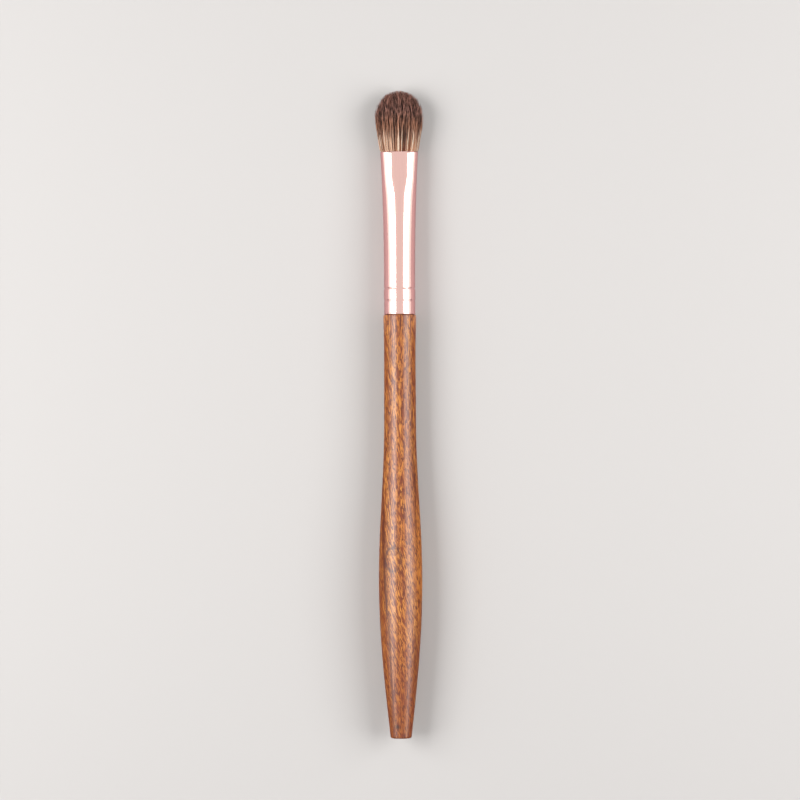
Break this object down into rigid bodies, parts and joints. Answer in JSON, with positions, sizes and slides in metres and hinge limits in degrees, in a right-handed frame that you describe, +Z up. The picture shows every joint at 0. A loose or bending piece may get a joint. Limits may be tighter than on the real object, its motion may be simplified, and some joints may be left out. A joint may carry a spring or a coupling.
{
  "type": "eye makeup brush",
  "caption": "Eyeshadow brush with a domed hair head, a pressed rose-coloured metal ferrule crimped on its handle, and a slim turned wooden handle with a swell",
  "frame": {"origin": "on the surface that the brush lies on, under the middle of its bounding box", "axes": "+Y runs along the brush from its butt end to its hair, +Z is up, and X is the width of the flattened ferrule mouth"},
  "size_m": [0.0123, 0.17, 0.0114],
  "materials": {
    "wood": "turned hardwood, fine dark pores, sealed with a satin lacquer",
    "rose_metal": "drawn and pressed, polished, anodised pale rose",
    "hair": "soft brown hair, paler at the root and darker at the tips",
    "thread": "undyed cotton thread",
    "resin": "set amber epoxy resin",
    "glue": "set cream wood glue"
  },
  "bodies": {
    "root": {"handle": "wood", "ferrule": "rose_metal", "hair_bundle": "hair", "binding_thread": "thread", "resin_plug": "resin", "tenon_glue": "glue"}
  },
  "joints": []
}
